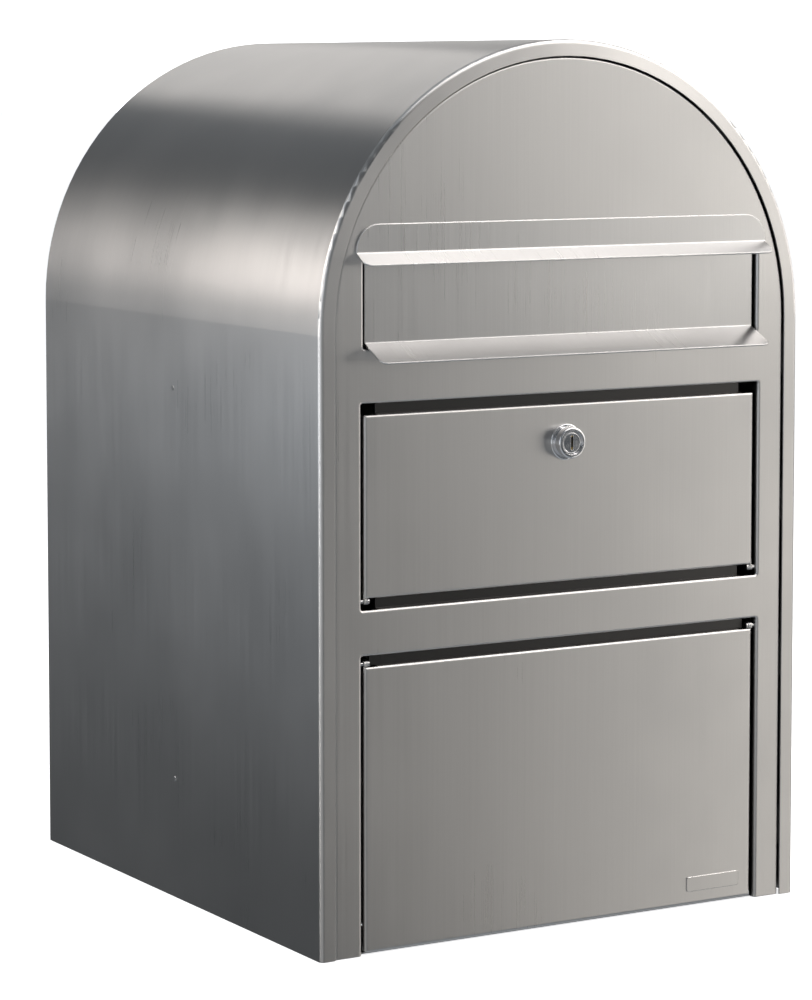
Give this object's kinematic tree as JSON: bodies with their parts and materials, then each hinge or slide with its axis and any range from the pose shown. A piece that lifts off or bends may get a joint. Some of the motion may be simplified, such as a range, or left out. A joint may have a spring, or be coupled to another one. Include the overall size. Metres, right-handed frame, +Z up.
{
  "type": "letterbox with parcel compartment",
  "caption": "Round-top brushed steel mailbox with a hooded letter slot and flap, a lockable drop-down letter door and a lift-up parcel door.",
  "frame": {"origin": "centre of the housing's footprint, on the underside of the base plate", "axes": "+Z up, front face towards -Y, +X to the right seen from the front"},
  "size_m": [0.3308, 0.3775, 0.519],
  "materials": {
    "brushed_sheet": "brushed stainless sheet, with the grain upright on the front and the sides and carried round the arch",
    "inner_sheet": "mill finish stainless sheet, dull",
    "pin_steel": "bright drawn steel pins, clips and rivets",
    "lock_chrome": "polished chrome plate",
    "lock_zinc": "bright zinc plate, satin",
    "wafer_brass": "stamped brass"
  },
  "bodies": {
    "housing": {"body_shell": "brushed_sheet", "back_panel": "inner_sheet", "base_plate": "inner_sheet", "divider_shelf": "inner_sheet", "front_panel": "brushed_sheet", "panel_brackets": "inner_sheet", "side_stiffeners": "inner_sheet", "side_rivets": "pin_steel", "rain_hood": "brushed_sheet", "flap_hinge_pin": "pin_steel", "flap_pin_clips": "pin_steel", "lock_keeper": "inner_sheet", "keeper_studs": "pin_steel"},
    "flap": {"letter_flap": "brushed_sheet"},
    "letter_leaf": {"letter_door": "brushed_sheet", "letter_door_hinge_plates": "inner_sheet", "letter_door_pins": "pin_steel", "letter_door_pin_clips": "pin_steel", "lock_housing": "lock_chrome", "lock_washer": "lock_zinc", "lock_nut": "lock_zinc"},
    "lock_core": {"lock_plug": "lock_chrome", "lock_wafers": "wafer_brass", "lock_cam": "lock_zinc", "lock_cam_screw": "lock_zinc"},
    "parcel_leaf": {"parcel_door": "brushed_sheet", "parcel_door_hinge_plates": "inner_sheet", "parcel_door_pins": "pin_steel", "parcel_door_pin_clips": "pin_steel", "blank_plate": "brushed_sheet"}
  },
  "joints": [
    {"name": "flap_hinge", "type": "hinge", "parent": "housing", "child": "flap", "pos_m": [0, -0.176, 0.3965], "axis": [-1, 0, 0], "range_deg": [0, 60]},
    {"name": "letter_door_hinge", "type": "hinge", "parent": "housing", "child": "letter_leaf", "pos_m": [0, -0.1764, 0.2025], "axis": [1, 0, 0], "range_deg": [0, 95]},
    {"name": "lock_turn", "type": "hinge", "parent": "letter_leaf", "child": "lock_core", "pos_m": [0, -0.1783, 0.286], "axis": [0, -1, 0], "range_deg": [0, 90]},
    {"name": "parcel_door_hinge", "type": "hinge", "parent": "housing", "child": "parcel_leaf", "pos_m": [0, -0.1764, 0.167], "axis": [-1, 0, 0], "range_deg": [0, 90]}
  ]
}
